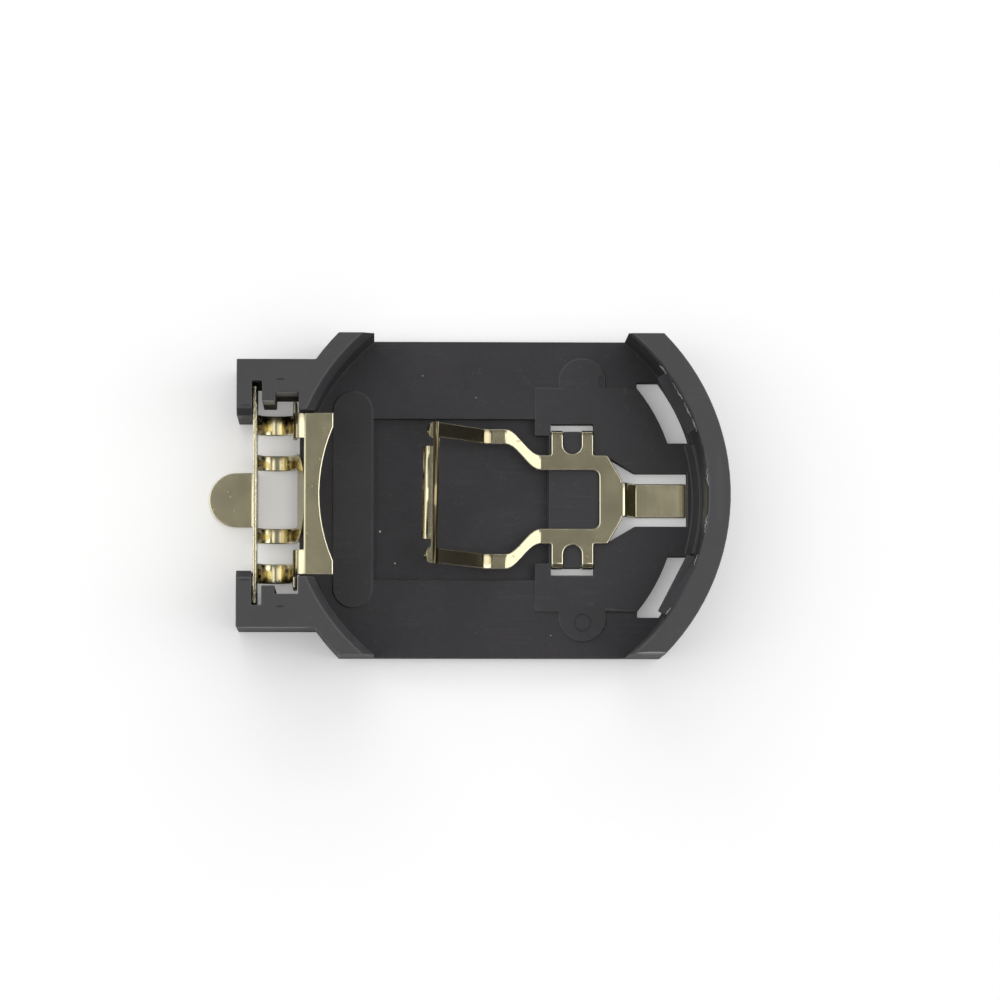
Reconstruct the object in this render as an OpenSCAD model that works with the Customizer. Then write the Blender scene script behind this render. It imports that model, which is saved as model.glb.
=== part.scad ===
// Surface-mount holder for one flat coin cell.
// The origin is on the board plane, under the middle of the cell. +X points to the arc wall with the
// two snap lips, -X to the contact block, +Z up. The model is symmetric about the XZ plane.

/* [Cell] */
// Diameter of the cell
cell_d = 20; // [16:0.5:25]
// Height of the cell
cell_h = 3.2; // [2:0.1:5]
// Radial gap between the cell and the pocket wall
cell_gap = 0.25; // [0.1:0.05:0.5]

/* [Housing] */
// Width across the two open flats
body_w = 16.1; // [13:0.1:20]
// Thickness of the pocket wall
wall = 1.2; // [0.9:0.05:2]
// Thickness of the floor
floor_t = 0.9; // [0.75:0.05:1.3]
// Height of the pads above the floor
pad_h = 0.1; // [0.05:0.05:0.3]
// Height of the wall above the top of the cell
rim_h = 0.8; // [0.5:0.1:1.5]
// Thickness left under the recess that the spring folds into
recess_t = 0.45; // [0.3:0.05:0.6]
// Gap beside the spring arms in the recess
recess_gap = 0.54; // [0.3:0.02:1]
// Reach of the recess on the contact block's side
recess_reach = 6.4; // [5:0.1:7]
// Lead-in on the top edge of the pocket, block side
lead_in = 0.4; // [0.2:0.05:0.5]
// Lead-in on the top edge of the pocket, arc side
arc_lead_in = 0.14; // [0.05:0.01:0.3]
// Width of the foot inside the arc wall
foot_w = 0.45; // [0.2:0.05:0.6]
// Height of the foot inside the arc wall
foot_h = 0.6; // [0.3:0.1:1]

/* [Contact block] */
// Thickness of each ear outside the back plate's slot
ear_wall = 1.1; // [0.7:0.05:1.4]
// Clear gap between the ears
ear_gap = 7.75; // [7:0.05:8]
// Length of the ears past the back plate
ear_tail = 0.8; // [0.5:0.1:1.5]
// Chamfer on the inner top edge of each ear
ear_chamfer = 0.38; // [0.2:0.02:0.5]
// Gap between the outer strips and the block
strip_gap = 0.36; // [0.2:0.02:0.45]
// Gap between the shoulders and the ends of their windows
shoulder_gap = 0.35; // [0.1:0.05:0.6]

/* [Snap lips] */
// Reach of each lip over the cell, measured in from the pocket wall
lip_reach = 0.62; // [0.4:0.02:0.8]
// Length of each lip
lip_len = 3.2; // [2:0.1:4]
// Angle from the X axis to the middle of each lip
lip_angle = 27.4; // [22:0.2:32]
// Thickness of a lip at its tip
lip_tip = 0.2; // [0.1:0.05:0.4]
// Height of the gap between the cell and a lip
lip_gap = 0.05; // [0.05:0.05:0.2]
// Width in Y of the core window through the floor under each lip
lip_window_w = 3.1; // [2.5:0.1:3.6]

/* [Sheet metal] */
// Thickness of both contacts
sheet = 0.2; // [0.15:0.01:0.25]
// Gap round a contact in its slot
slot_gap = 0.1; // [0.05:0.01:0.15]

/* [Positive contact] */
// Width of the back plate
back_w = 11; // [10.4:0.1:11.4]
// Height of the back plate above the board
back_h = 4.1; // [3:0.1:4.5]
// Distance between the back plate and the risers
trough_w = 2; // [1.6:0.1:2.4]
// Distance from the board to the middle of the trough strips
trough_z = 0.3; // [0.15:0.05:0.5]
// Middle of each outer strip, from the centre line
outer_strip_y = 3.77; // [3.6:0.01:3.8]
// Width of each outer strip
outer_strip_w = 1; // [0.8:0.05:1.1]
// Middle of each inner strip, from the centre line
inner_strip_y = 1.85; // [1.7:0.01:2]
// Width of each inner strip
inner_strip_w = 0.78; // [0.6:0.02:0.9]
// Width of the shoulders on the outer risers, over both
shoulder_w = 9.4; // [8.8:0.1:9.6]
// Width of the top plate
top_w = 8.14; // [7.8:0.02:8.2]
// Reach of the top plate, measured in from the pocket wall
top_reach = 1.85; // [1.5:0.05:2.2]
// Lean of the sprung loop towards the cell
loop_lean = 11; // [6:1:14]
// Width of the solder tab
tab_w = 2.78; // [2:0.02:3]
// Length of the solder tab past the back plate
tab_len = 2.32; // [1.8:0.02:3]

/* [Negative contact] */
// Distance from the pocket wall to the end of the soldered tail
tail_gap = 0.75; // [0.7:0.05:1.5]
// Width of the tail
tail_w = 1.74; // [1.2:0.02:2]
// Width of the base
base_w = 4.52; // [4:0.02:5]
// Width of each spring arm
arm_w = 0.78; // [0.6:0.02:0.9]
// Width over the two spring arms
arms_w = 7.12; // [6.6:0.02:7.6]
// Height of the free spring above the base
spring_rise = 2.65; // [2:0.05:3]
// Angle of the rising part of the arms
spring_angle = 45; // [38:1:50]
// Width of each barbed leg
leg_w = 0.6; // [0.4:0.02:0.7]
// Distance between the legs of a pair
leg_pitch = 1.54; // [1.3:0.02:1.8]

/* [Hidden] */
$fn = 96;
past = 1;                                        // how far a cutter runs past the face it cuts
tiny = 0.01;                                     // overlap that keeps a joint or a cut clean
bend_steps = 12;                                 // flats along one bend of the sheet

pocket_r = cell_d/2 + cell_gap;
outer_r = pocket_r + wall;
pad_z = floor_t + pad_h;                         // top of the pads
seat_z = pad_z + sheet;                          // the cell rests on the negative base
cell_top = seat_z + cell_h;
wall_h = cell_top + rim_h;

riser_x = -(pocket_r + 0.09);                    // middle of the sheet, outer risers
back_x = riser_x - trough_w;                     // middle of the sheet, back plate
ear_x = back_x - sheet/2 - ear_tail;             // end of the ears
opening_x = riser_x + sheet/2 + slot_gap;        // pocket side of the block's opening
slot_x = back_x - sheet/2 - 0.03;                // outer face of the back plate's slots
slot_depth_x = 0.5;                              // slot size along X
slot_w = back_w + 2*slot_gap;                    // over both slots
ears_w = slot_w + 2*ear_wall;
trough_opening_w = 2*outer_strip_y + outer_strip_w + 2*strip_gap;
window_end_w = shoulder_w + 2*shoulder_gap;
recess_w = arms_w + 2*recess_gap;
step_x = slot_x + slot_depth_x;                  // where the opening narrows beside the strips
window_x = step_x + 0.66;                        // where it widens again to the windows
block_root_x = 2.25 - pocket_r;                  // inside the pocket ring, where the block joins it

top_z = cell_top + lip_gap + sheet/2;            // middle of the top plate
top_bend_r = 0.58;                               // bend from the riser to the top plate
top_end_x = -pocket_r + top_reach;
top_arc_r = 8.5;                                 // concave edge over the cell
top_mid_x = top_end_x - 0.69;                    // middle of that edge
top_slit_x = riser_x + 0.47;                     // edge of the top plate over the loop
wing_in_y = 2.8;                                 // inner edge of the bends at the top of the risers
wing_low_z = top_z - 1.45;                       // lower end of those bends
trough_r = trough_w/2 - 0.02;                    // nearly a half circle
tab_bend_r = 0.26;
strip_root_z = trough_z + trough_r + 0.25;       // inside the back plate
back_low_z = trough_z + trough_r - 0.1;          // lower edge of the back plate
shoulder_low_z = 1.5;
shoulder_top_z = top_z - 0.85;
loop_x = riser_x - 0.12;                         // middle of the sheet at the foot of the loop
loop_z = cell_top - 0.4;                         // top of the sprung loop
loop_window_z = 1.9;                             // top of the loop's own window
loop_spring_z = 1.35;                            // where the loop's arched top starts

lip_mid_r = pocket_r - lip_reach;
lip_mid_y = lip_mid_r*sin(lip_angle);
lip_under_z = cell_top + lip_gap;
lip_window_r = lip_mid_r - 0.62;                 // inner edge of the core windows
lip_window_x = pocket_r - 0.2;                   // their outer limit
lip_window_y = lip_mid_y + lip_window_w/2;       // their far end
lip_window_low_x = sqrt(pow(lip_window_r, 2) - pow(lip_window_y, 2)) + 0.24;  // blunts the sharp corner

tail_x = pocket_r - tail_gap;                    // end of the tail
tail_side_gap = 0.49;                            // beside the tail in its slot
tail_end_gap = 0.02;                             // past its end
web_x = 6.2;                                     // where the base drops to the tail
web_w = 1.15;                                    // size of the web along X
web_end_w = tail_w + 0.3;                        // width of the web where the drop starts
web_taper = 0.72;                                // length over which it narrows to that
web_corner_r = 0.33;                             // inside corners of the web
tail_drop = 0.5;                                 // length of the drop along X
base_x = 2.05;                                   // where the arms leave the base
flare_x = 0.3;                                   // where the arms are at full width
flare_rise = 0.2;                                // the arms rise this far along the flare
arm_bend_x = -0.75;                              // where the steep rise starts
bar_z = pad_z + sheet/2 + flare_rise + spring_rise - sheet/2;
bar_x = arm_bend_x - (bar_z - pad_z - sheet/2 - flare_rise)/tan(spring_angle);
bar_flat = 0.36;                                 // top of the cross bar
bar_end_x = bar_x - bar_flat;
bar_lip_x = bar_end_x - 0.24;                    // middle of the sheet at the folded lip's edge
bar_lip_z = bar_z - 0.11;                        // it slopes down gently
bar_bend_r = 0.14;                               // from the arms to the bar
bar_lip_w = 4.66;                                // length of that lip
bar_notch_w = 5.24;                              // distance between the end nubs
nub_r = 0.42;                                    // round ends of the cross bar
nub_x = bar_end_x - 0.12 + nub_r;
bar_edge_x = bar_x - 0.16;                       // edge of the bar between the lip and the nubs
bar_skirt_x = bar_x + 0.16;                      // edge of the bar between the arms
leg_mid_x = base_x + 1.64;                       // middle of a pair of legs
leg_y = 3.52;                                    // outer face of the folded legs
leg_bend_r = 0.2;                                // middle of the sheet
leg_low_z = 0.15;
leg_root_w = 0.53;                               // reach of the plate that joins a pair of legs
leg_play = 0.02;                                 // between a pair of legs and the rib
leg_slot_y = leg_y + 0.33;                       // outer edge of the leg slots
recess_end_x = base_x + 0.45;

pad_x = base_x - 0.25;                           // edge of the pads on the spring's side
pad_y = recess_w/2 + 1.6;                        // reach of the raised floor beside the recess
pad_inner_y = recess_w/2 - 0.85;                 // it also covers the corners of the recess
boss_r = 1.2;                                    // round pad on each side
boss_x = base_x + 2.15;
boss_y = recess_w/2 + 1.9;
pad_foot_z = recess_t/2;                         // all of it starts inside the solid floor
rest_x = pocket_r - 2.8;                         // middle of the pad under the top plate
rest_w = 2;
rest_y = 4.5;

// Sheet-metal paths. A path is a list of corners [along, up, bend radius].

function leg_dir(c, i) = atan2(c[i + 1][1] - c[i][1], c[i + 1][0] - c[i][0]);

function turn_of(a, b) = let (d = b - a) d > 180 ? d - 360 : d < -180 ? d + 360 : d;

// Points round one bend, each with the direction of travel there.
function bend(c, i) =
    let (a = leg_dir(c, i - 1), turn = turn_of(a, leg_dir(c, i)), r = c[i][2],
         set_back = r*tan(abs(turn)/2),
         start = [c[i][0], c[i][1]] - set_back*[cos(a), sin(a)])
    [for (k = [0:bend_steps]) let (b = a + turn*k/bend_steps)
        [start + sign(turn)*r*[sin(b) - sin(a), cos(a) - cos(b)], b]];

// The middle line of the sheet with every bend rounded.
function middle_line(c) = concat(
    [[[c[0][0], c[0][1]], leg_dir(c, 0)]],
    [for (i = [1:len(c) - 2]) each bend(c, i)],
    [[[c[len(c) - 1][0], c[len(c) - 1][1]], leg_dir(c, len(c) - 2)]]);

// The section of a folded sheet: both faces set off by half the thickness.
function sheet_section(c) =
    let (m = middle_line(c), h = sheet/2, n = len(m))
    concat([for (s = m) s[0] + h*[-sin(s[1]), cos(s[1])]],
           [for (i = [n - 1:-1:0]) m[i][0] - h*[-sin(m[i][1]), cos(m[i][1])]]);

// A sheet whose bends run along Y, between two distances from the centre line.
module sheet_y(corners, y0, y1) {
    translate([0, y1, 0])
        rotate([90, 0, 0])
            linear_extrude(y1 - y0) polygon(sheet_section(corners));
}

// A sheet whose bends run along X; its corners are [across, up, radius].
module sheet_x(corners, x0, x1) {
    translate([x0, 0, 0])
        rotate([90, 0, 90])
            linear_extrude(x1 - x0) polygon(sheet_section(corners));
}

module both_sides() {
    children();
    mirror([0, 1, 0]) children();
}

// A block given by its two corners.
module block(low, high) {
    translate(low) cube(high - low);
}

// Housing

module body_outline() {
    intersection() {
        circle(outer_r, $fn = 180);
        square([2*outer_r + past, body_w], center = true);
    }
    translate([ear_x, -ears_w/2]) square([block_root_x - ear_x, ears_w]);
}

// Everything that the cell and the open flats need clear above the floor.
module pocket() {
    translate([0, 0, floor_t]) cylinder(r = pocket_r, h = wall_h, $fn = 180);
    intersection() {
        translate([0, 0, wall_h - lead_in])
            cylinder(r1 = pocket_r, r2 = pocket_r + lead_in, h = lead_in + tiny, $fn = 180);
        block([-outer_r, -body_w, 0], [0, body_w, 2*wall_h]);
    }
    intersection() {
        translate([0, 0, wall_h - arc_lead_in])
            cylinder(r1 = pocket_r, r2 = pocket_r + arc_lead_in, h = arc_lead_in + tiny, $fn = 180);
        block([0, -body_w, 0], [outer_r, body_w, 2*wall_h]);
    }
    block([opening_x - past, -top_w/2 - slot_gap, floor_t],
          [block_root_x, top_w/2 + slot_gap, 2*wall_h]);
}

// The opening of the block, wider where the plate and the risers sit.
module block_opening() {
    block([ear_x - past, -ear_gap/2, -past], [step_x, ear_gap/2, 2*wall_h]);
    block([slot_x, -slot_w/2, -past], [step_x, slot_w/2, 2*wall_h]);
    block([slot_x, -trough_opening_w/2, -past], [opening_x, trough_opening_w/2, 2*wall_h]);
    block([window_x, -window_end_w/2, -past], [opening_x, window_end_w/2, 2*wall_h]);
    both_sides()
        translate([ear_x - past, ear_gap/2, wall_h])
            rotate([45, 0, 0])
                translate([0, -ear_chamfer/sqrt(2), -ear_chamfer/sqrt(2)])
                    cube([slot_x - ear_x + past, 2*ear_chamfer/sqrt(2), 2*ear_chamfer/sqrt(2)]);
}

// Where the spring folds down under the cell.
module spring_recess() {
    block([-recess_reach, -recess_w/2, recess_t], [recess_end_x, recess_w/2, wall_h]);
}

// The floor is raised under the base, as far as the arc wall, with a round pad at each side and a long
// pad under the top plate.
module pads() {
    intersection() {
        union() {
            block([recess_end_x, -pad_y, pad_foot_z], [outer_r, pad_y, pad_z]);
            both_sides() block([pad_x, pad_inner_y, pad_foot_z], [recess_end_x + tiny, pad_y, pad_z]);
        }
        cylinder(r = pocket_r + wall/2, h = wall_h, $fn = 180);
    }
    both_sides() {
        translate([boss_x, boss_y, pad_foot_z]) cylinder(r = boss_r, h = pad_z - pad_foot_z);
        translate([-rest_x, rest_y, pad_foot_z]) cylinder(r = rest_w/2, h = pad_z - pad_foot_z);
    }
    block([-rest_x - rest_w/2, -rest_y, pad_foot_z], [-rest_x + rest_w/2, rest_y, pad_z]);
}

// Slots for the barbed legs, with the rib that stands between a pair.
module leg_slots() {
    half = (leg_pitch + leg_w)/2 + leg_play;
    rib = (leg_pitch - leg_w)/2 - leg_play;
    slot_low_y = leg_y - sheet/2 - leg_bend_r;
    both_sides() difference() {
        block([leg_mid_x - half, slot_low_y, -past], [leg_mid_x + half, leg_slot_y, wall_h]);
        block([leg_mid_x - rib, 0, -2*past], [leg_mid_x + rib, leg_y - sheet/4, 2*wall_h]);
    }
}

module tail_slot() {
    h = tail_w/2 + tail_side_gap;
    wide = h + 0.8;
    flare_start_x = web_x - 0.7;
    flare_end_x = web_x + 0.65;
    translate([0, 0, -past])
        linear_extrude(2*wall_h)
            polygon([[tail_x + tail_end_gap, -h], [tail_x + tail_end_gap, h], [flare_end_x, h],
                     [flare_start_x, wide], [flare_start_x, -wide], [flare_end_x, -h]]);
}

module lip_windows() {
    both_sides()
        translate([0, lip_mid_y - lip_window_w/2, -past])
            linear_extrude(past + pad_z + tiny)
                difference() {
                    translate([lip_window_low_x, 0]) square([outer_r, lip_window_w]);
                    translate([0, lip_window_w/2 - lip_mid_y]) circle(lip_window_r, $fn = 180);
                    translate([0, lip_window_w/2 - lip_mid_y]) ring_outside(lip_window_x);
                }
}

// All of the plane outside a circle.
module ring_outside(r) {
    difference() {
        square(4*outer_r, center = true);
        circle(r, $fn = 180);
    }
}

// One slanted snap lip, from the wall's top edge down to its tip. It is rooted well inside the wall.
module lip() {
    root_r = lip_reach + 0.1;
    back_r = lip_reach + wall - 0.2;
    rotate([0, 0, lip_angle])
        translate([lip_mid_r, lip_len/2, 0])
            rotate([90, 0, 0])
                linear_extrude(lip_len)
                    polygon([[0, lip_under_z], [0, lip_under_z + lip_tip], [root_r, wall_h],
                             [back_r, wall_h], [back_r, lip_under_z - 0.5], [root_r, lip_under_z - 0.3]]);
}

// The foot along the inside of the arc wall, between the core windows.
module foot() {
    half = lip_mid_y - lip_window_w/2 - 0.1;
    inside_wall_r = pocket_r + 0.1;
    intersection() {
        rotate_extrude($fn = 180)
            polygon([[pocket_r - foot_w, pad_foot_z], [inside_wall_r, pad_foot_z],
                     [inside_wall_r, floor_t + foot_h], [pocket_r - 0.12, floor_t + foot_h],
                     [pocket_r - foot_w, pad_z]]);
        block([0, -half, 0], [outer_r, half, wall_h]);
    }
}

module housing() {
    color("#47464a")
        difference() {
            union() {
                difference() {
                    linear_extrude(wall_h) body_outline();
                    pocket();
                    spring_recess();
                }
                pads();
                foot();
                both_sides() lip();
            }
            block_opening();
            leg_slots();
            tail_slot();
            lip_windows();
        }
}

// Positive contact

module solder_tab() {
    half = tab_w/2;
    end_x = back_x - sheet/2 - tab_len;
    intersection() {
        sheet_y([[back_x, strip_root_z], [back_x, sheet/2, tab_bend_r], [end_x, sheet/2]], -half, half);
        union() {
            translate([end_x + half, 0, -past]) cylinder(r = half, h = 2*wall_h);
            block([end_x + half, -half, -past], [0, half, 2*wall_h]);
        }
    }
}

// The four strips start in the back plate and run round the trough.
module outer_strips() {
    wide = outer_strip_y + outer_strip_w/2;
    both_sides() intersection() {
        sheet_y([[back_x, strip_root_z], [back_x, trough_z, trough_r], [riser_x, trough_z, trough_r],
                 [riser_x, top_z, top_bend_r], [top_end_x, top_z]], 0, shoulder_w/2);
        union() {
            block([back_x - past, wide - outer_strip_w, 0], [riser_x + past/2, wide, shoulder_top_z]);
            block([riser_x - past/2, wide - outer_strip_w, shoulder_low_z],
                  [riser_x + past/2, shoulder_w/2, shoulder_top_z]);
            block([riser_x - past/2, wing_in_y, wing_low_z], [top_end_x, top_w/2, 2*wall_h]);
            block([top_slit_x, 0, top_z - sheet], [top_end_x, wing_in_y, 2*wall_h]);
        }
        linear_extrude(2*wall_h)
            difference() {
                translate([back_x - past, 0]) square([top_end_x - back_x + past, wall_h*2]);
                translate([top_mid_x + top_arc_r, 0]) circle(top_arc_r);
            }
    }
}

// Front view of the sprung loop: two legs under an arched top.
module loop_outline() {
    half = inner_strip_y + inner_strip_w/2;
    difference() {
        union() {
            translate([-half, 0]) square([2*half, loop_spring_z]);
            polygon([for (a = [0:7.5:180])
                [half*cos(a), loop_spring_z - tiny + (loop_z - loop_spring_z)*sin(a)]]);
        }
        translate([-half + inner_strip_w, -past])
            square([2*(half - inner_strip_w), loop_window_z + past]);
    }
}

module sprung_loop() {
    rise = loop_z - trough_z;
    intersection() {
        sheet_y([[back_x, strip_root_z], [back_x, trough_z, trough_r], [loop_x, trough_z, trough_r - 0.1],
                 [loop_x + (rise + past)*tan(loop_lean), loop_z + past]],
                -ear_gap/2, ear_gap/2);
        translate([back_x - past, 0, 0])
            rotate([90, 0, 90]) linear_extrude(2*trough_w + past) loop_outline();
    }
}

module back_plate() {
    block([back_x - sheet/2, -back_w/2, back_low_z], [back_x + sheet/2, back_w/2, back_h]);
}

module positive_contact() {
    color("#b7a878") {
        back_plate();
        solder_tab();
        outer_strips();
        sprung_loop();
    }
}

// Negative contact

function ease(t) = t*t*(3 - 2*t);

// Edge of a flared arm from the base, at y0, to full width, at y1.
function flare(y0, y1) =
    [for (k = [0:10]) [base_x + (flare_x - base_x)*k/10, y0 + (y1 - y0)*ease(k/10)]];

module arm_outline() {
    half = arms_w/2;
    root_x = base_x + 0.1;
    out_edge = flare(base_w/2, half);
    in_edge = flare(base_w/2 - arm_w, half - arm_w);
    polygon(concat([[root_x, base_w/2]], out_edge, [[bar_x, half], [bar_x, half - arm_w]],
                   [for (k = [10:-1:0]) in_edge[k]], [[root_x, base_w/2 - arm_w]]));
}

module cross_bar_outline() {
    half = arms_w/2;
    bar_w = bar_skirt_x - bar_edge_x;
    nub_y = half - nub_r;
    translate([bar_edge_x, -nub_y]) square([bar_w, 2*nub_y]);
    translate([bar_lip_x - sheet, -bar_lip_w/2]) square([bar_skirt_x - bar_lip_x, bar_lip_w]);
    both_sides() {
        translate([nub_x, bar_notch_w/2]) square([bar_skirt_x - nub_x, nub_y - bar_notch_w/2]);
        translate([nub_x, nub_y]) circle(nub_r);
        translate([nub_x, nub_y]) square([bar_skirt_x - nub_x, nub_r]);
    }
}

module base_outline() {
    half = base_w/2;
    end = web_end_w/2;
    polygon([[web_x, -end], [web_x, end], [web_x - web_taper, half], [base_x, half],
             [base_x, half - arm_w], [web_x - web_w, half - arm_w], [web_x - web_w, arm_w - half],
             [base_x, arm_w - half], [base_x, -half], [web_x - web_taper, -half]]);
    translate([web_x - web_w/2, -tail_w/2]) square([tail_x - web_x + web_w/2 + past, tail_w]);
    both_sides()
        translate([web_x - web_w - web_corner_r, half - arm_w - web_corner_r])
            difference() {
                square(web_corner_r + 0.1);
                circle(web_corner_r, $fn = 48);
            }
    both_sides() difference() {
        translate([leg_mid_x - leg_pitch/2, half - 0.1]) square([leg_pitch, leg_root_w + 0.1]);
        translate([leg_mid_x, half + leg_root_w]) circle((leg_pitch - leg_w)/2, $fn = 48);
    }
}

// The long strip: tail, base, arms and cross bar, seen from the side.
module spring_section() {
    base_z = pad_z + sheet/2;
    arm_z = base_z + flare_rise;
    sheet_y([[tail_x, sheet/2], [web_x + tail_drop + 0.16, sheet/2, 0.2], [web_x + 0.16, base_z, 0.2],
             [base_x, base_z, 1.5], [flare_x, arm_z, 1.5], [arm_bend_x, arm_z, 0.8],
             [bar_x, bar_z, bar_bend_r], [bar_end_x, bar_z, 0.16], [bar_lip_x, bar_lip_z]],
            -arms_w/2 - past, arms_w/2 + past);
}

module barbed_legs() {
    base_z = pad_z + sheet/2;
    tip_y = leg_y - sheet/2;
    both_sides()
        for (side = [-1, 1])
            sheet_x([[base_w/2 - 0.3, base_z], [tip_y, base_z, leg_bend_r], [tip_y, leg_low_z]],
                    leg_mid_x + side*leg_pitch/2 - leg_w/2, leg_mid_x + side*leg_pitch/2 + leg_w/2);
}

module negative_contact() {
    color("#c2b384") {
        intersection() {
            spring_section();
            translate([0, 0, -past]) linear_extrude(2*wall_h) {
                both_sides() arm_outline();
                cross_bar_outline();
                base_outline();
            }
        }
        barbed_legs();
    }
}

housing();
positive_contact();
negative_contact();
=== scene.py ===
"""Looks for a surface-mount coin cell holder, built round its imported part.

The frame gives three solids: a moulded housing, a folded positive contact and a stamped spring contact. Each
is copied, merged and softened along its edges, and small pieces are added: moulding flash, a sheared burr,
mould marks and dust. The holder's lengths are written in millimetres and turned into metres when a mesh or a
material is made. The studio's are in metres where it says so.
"""

import logging
import math
from dataclasses import dataclass, field
from enum import Enum

import bmesh
import bpy
import numpy as np
from mathutils import Matrix, Vector


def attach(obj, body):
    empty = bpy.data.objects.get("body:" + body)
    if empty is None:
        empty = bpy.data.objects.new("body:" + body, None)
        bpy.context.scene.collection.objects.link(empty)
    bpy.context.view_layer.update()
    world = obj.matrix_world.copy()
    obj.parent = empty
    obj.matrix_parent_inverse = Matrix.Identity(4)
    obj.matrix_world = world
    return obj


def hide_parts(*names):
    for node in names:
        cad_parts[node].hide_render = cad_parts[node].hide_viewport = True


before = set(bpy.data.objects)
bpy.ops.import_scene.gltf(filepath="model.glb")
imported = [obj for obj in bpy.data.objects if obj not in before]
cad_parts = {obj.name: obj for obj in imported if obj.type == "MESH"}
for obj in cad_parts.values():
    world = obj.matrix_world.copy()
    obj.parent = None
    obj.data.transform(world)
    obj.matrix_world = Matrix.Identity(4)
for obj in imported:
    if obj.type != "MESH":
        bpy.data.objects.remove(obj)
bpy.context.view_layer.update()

MM = 0.001
BUMP_DEPTH = 0.02 * MM
BODY = "root"
LOG = logging.getLogger("coin_cell_holder")

Colour = tuple[float, float, float, float]
Point = tuple[float, float, float]
Shape = tuple[np.ndarray, list]
Socket = bpy.types.NodeSocket


class Slot(Enum):
    """The record's material slots."""

    HOUSING = "housing_plastic"
    CONTACT = "contact_metal"


class Side(Enum):
    """The two mirror halves of the holder, by the sign of Y."""

    FAR = 1
    NEAR = -1


def grey(level: float, warmth: float = 0.0) -> Colour:
    """A near-neutral linear colour; warmth above 0 leans to amber and below 0 to violet."""
    return (level * (1 + warmth), level, level * (1 - warmth), 1.0)


# -------------------------------------------------------------------------------- node helper


class Wiring:
    """Adds nodes to one tree and joins them."""

    def __init__(self, tree: bpy.types.NodeTree) -> None:
        """Keeps the tree that the nodes go into."""
        self.tree = tree

    def node(self, kind: str, **settings: object) -> bpy.types.Node:
        """Adds a node.

        Args:
            kind: the node's type name.
            settings: properties of the node, by name.

        Returns:
            The new node.
        """
        made = self.tree.nodes.new(kind)
        for key, value in settings.items():
            setattr(made, key, value)
        return made

    def feed(self, socket: Socket, value: object) -> None:
        """Links a socket to another, or sets its value."""
        if isinstance(value, Socket):
            self.tree.links.new(value, socket)
        else:
            socket.default_value = value

    def math(self, operation: str, a: object, b: object = 0.0) -> Socket:
        """Combines two values.

        Args:
            operation: the Math node's operation.
            a: first value or socket.
            b: second value or socket.

        Returns:
            The result's socket.
        """
        made = self.node("ShaderNodeMath", operation=operation)
        self.feed(made.inputs[0], a)
        self.feed(made.inputs[1], b)
        return made.outputs[0]

    def span(self, value: object, low: float, high: float, to_low: float = 0.0,
             to_high: float = 1.0) -> Socket:
        """Maps a value smoothly from one span to another, held at both ends.

        Args:
            value: the value or socket that is mapped.
            low: where the result is to_low.
            high: where the result is to_high.
            to_low: result at low.
            to_high: result at high.

        Returns:
            The result's socket.
        """
        made = self.node("ShaderNodeMapRange", interpolation_type="SMOOTHSTEP")
        for place, given in zip(made.inputs[:5], (value, low, high, to_low, to_high)):
            self.feed(place, given)
        return made.outputs[0]

    def mix(self, share: object, a: object, b: object) -> Socket:
        """Mixes two colours.

        Args:
            share: how much of b, from 0 to 1.
            a: first colour or socket.
            b: second colour or socket.

        Returns:
            The colour's socket.
        """
        made = self.node("ShaderNodeMix", data_type="RGBA")
        self.feed(made.inputs["Factor"], share)
        self.feed(made.inputs[6], a)
        self.feed(made.inputs[7], b)
        return made.outputs[2]

    def noise(self, vector: object, scale: object, detail: float = 3.0, roughness: float = 0.5) -> Socket:
        """Adds a noise texture.

        Args:
            vector: where it is read.
            scale: cells per metre.
            detail: octaves.
            roughness: share of each finer octave.

        Returns:
            The noise value's socket, about 0.5 in the mean.
        """
        made = self.node("ShaderNodeTexNoise")
        self.feed(made.inputs["Vector"], vector)
        self.feed(made.inputs["Scale"], scale)
        made.inputs["Detail"].default_value = detail
        made.inputs["Roughness"].default_value = roughness
        return made.outputs[0]

    def stretch(self, vector: object, factors: Point) -> Socket:
        """Multiplies a position by one factor for each axis."""
        made = self.node("ShaderNodeVectorMath", operation="MULTIPLY")
        self.feed(made.inputs[0], vector)
        made.inputs[1].default_value = factors
        return made.outputs[0]

    def axes(self, vector: object) -> bpy.types.bpy_prop_collection:
        """Splits a position.

        Args:
            vector: the position or its socket.

        Returns:
            The sockets X, Y and Z, by name.
        """
        made = self.node("ShaderNodeSeparateXYZ")
        self.feed(made.inputs[0], vector)
        return made.outputs

    def bump(self, relief: object, strength: float) -> Socket:
        """Tilts the surface by a relief.

        Args:
            relief: the height's socket, in units of BUMP_DEPTH.
            strength: share of the full tilt.

        Returns:
            The normal's socket.
        """
        made = self.node("ShaderNodeBump")
        made.inputs["Strength"].default_value = strength
        made.inputs["Distance"].default_value = BUMP_DEPTH
        self.feed(made.inputs["Height"], relief)
        return made.outputs[0]


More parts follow.
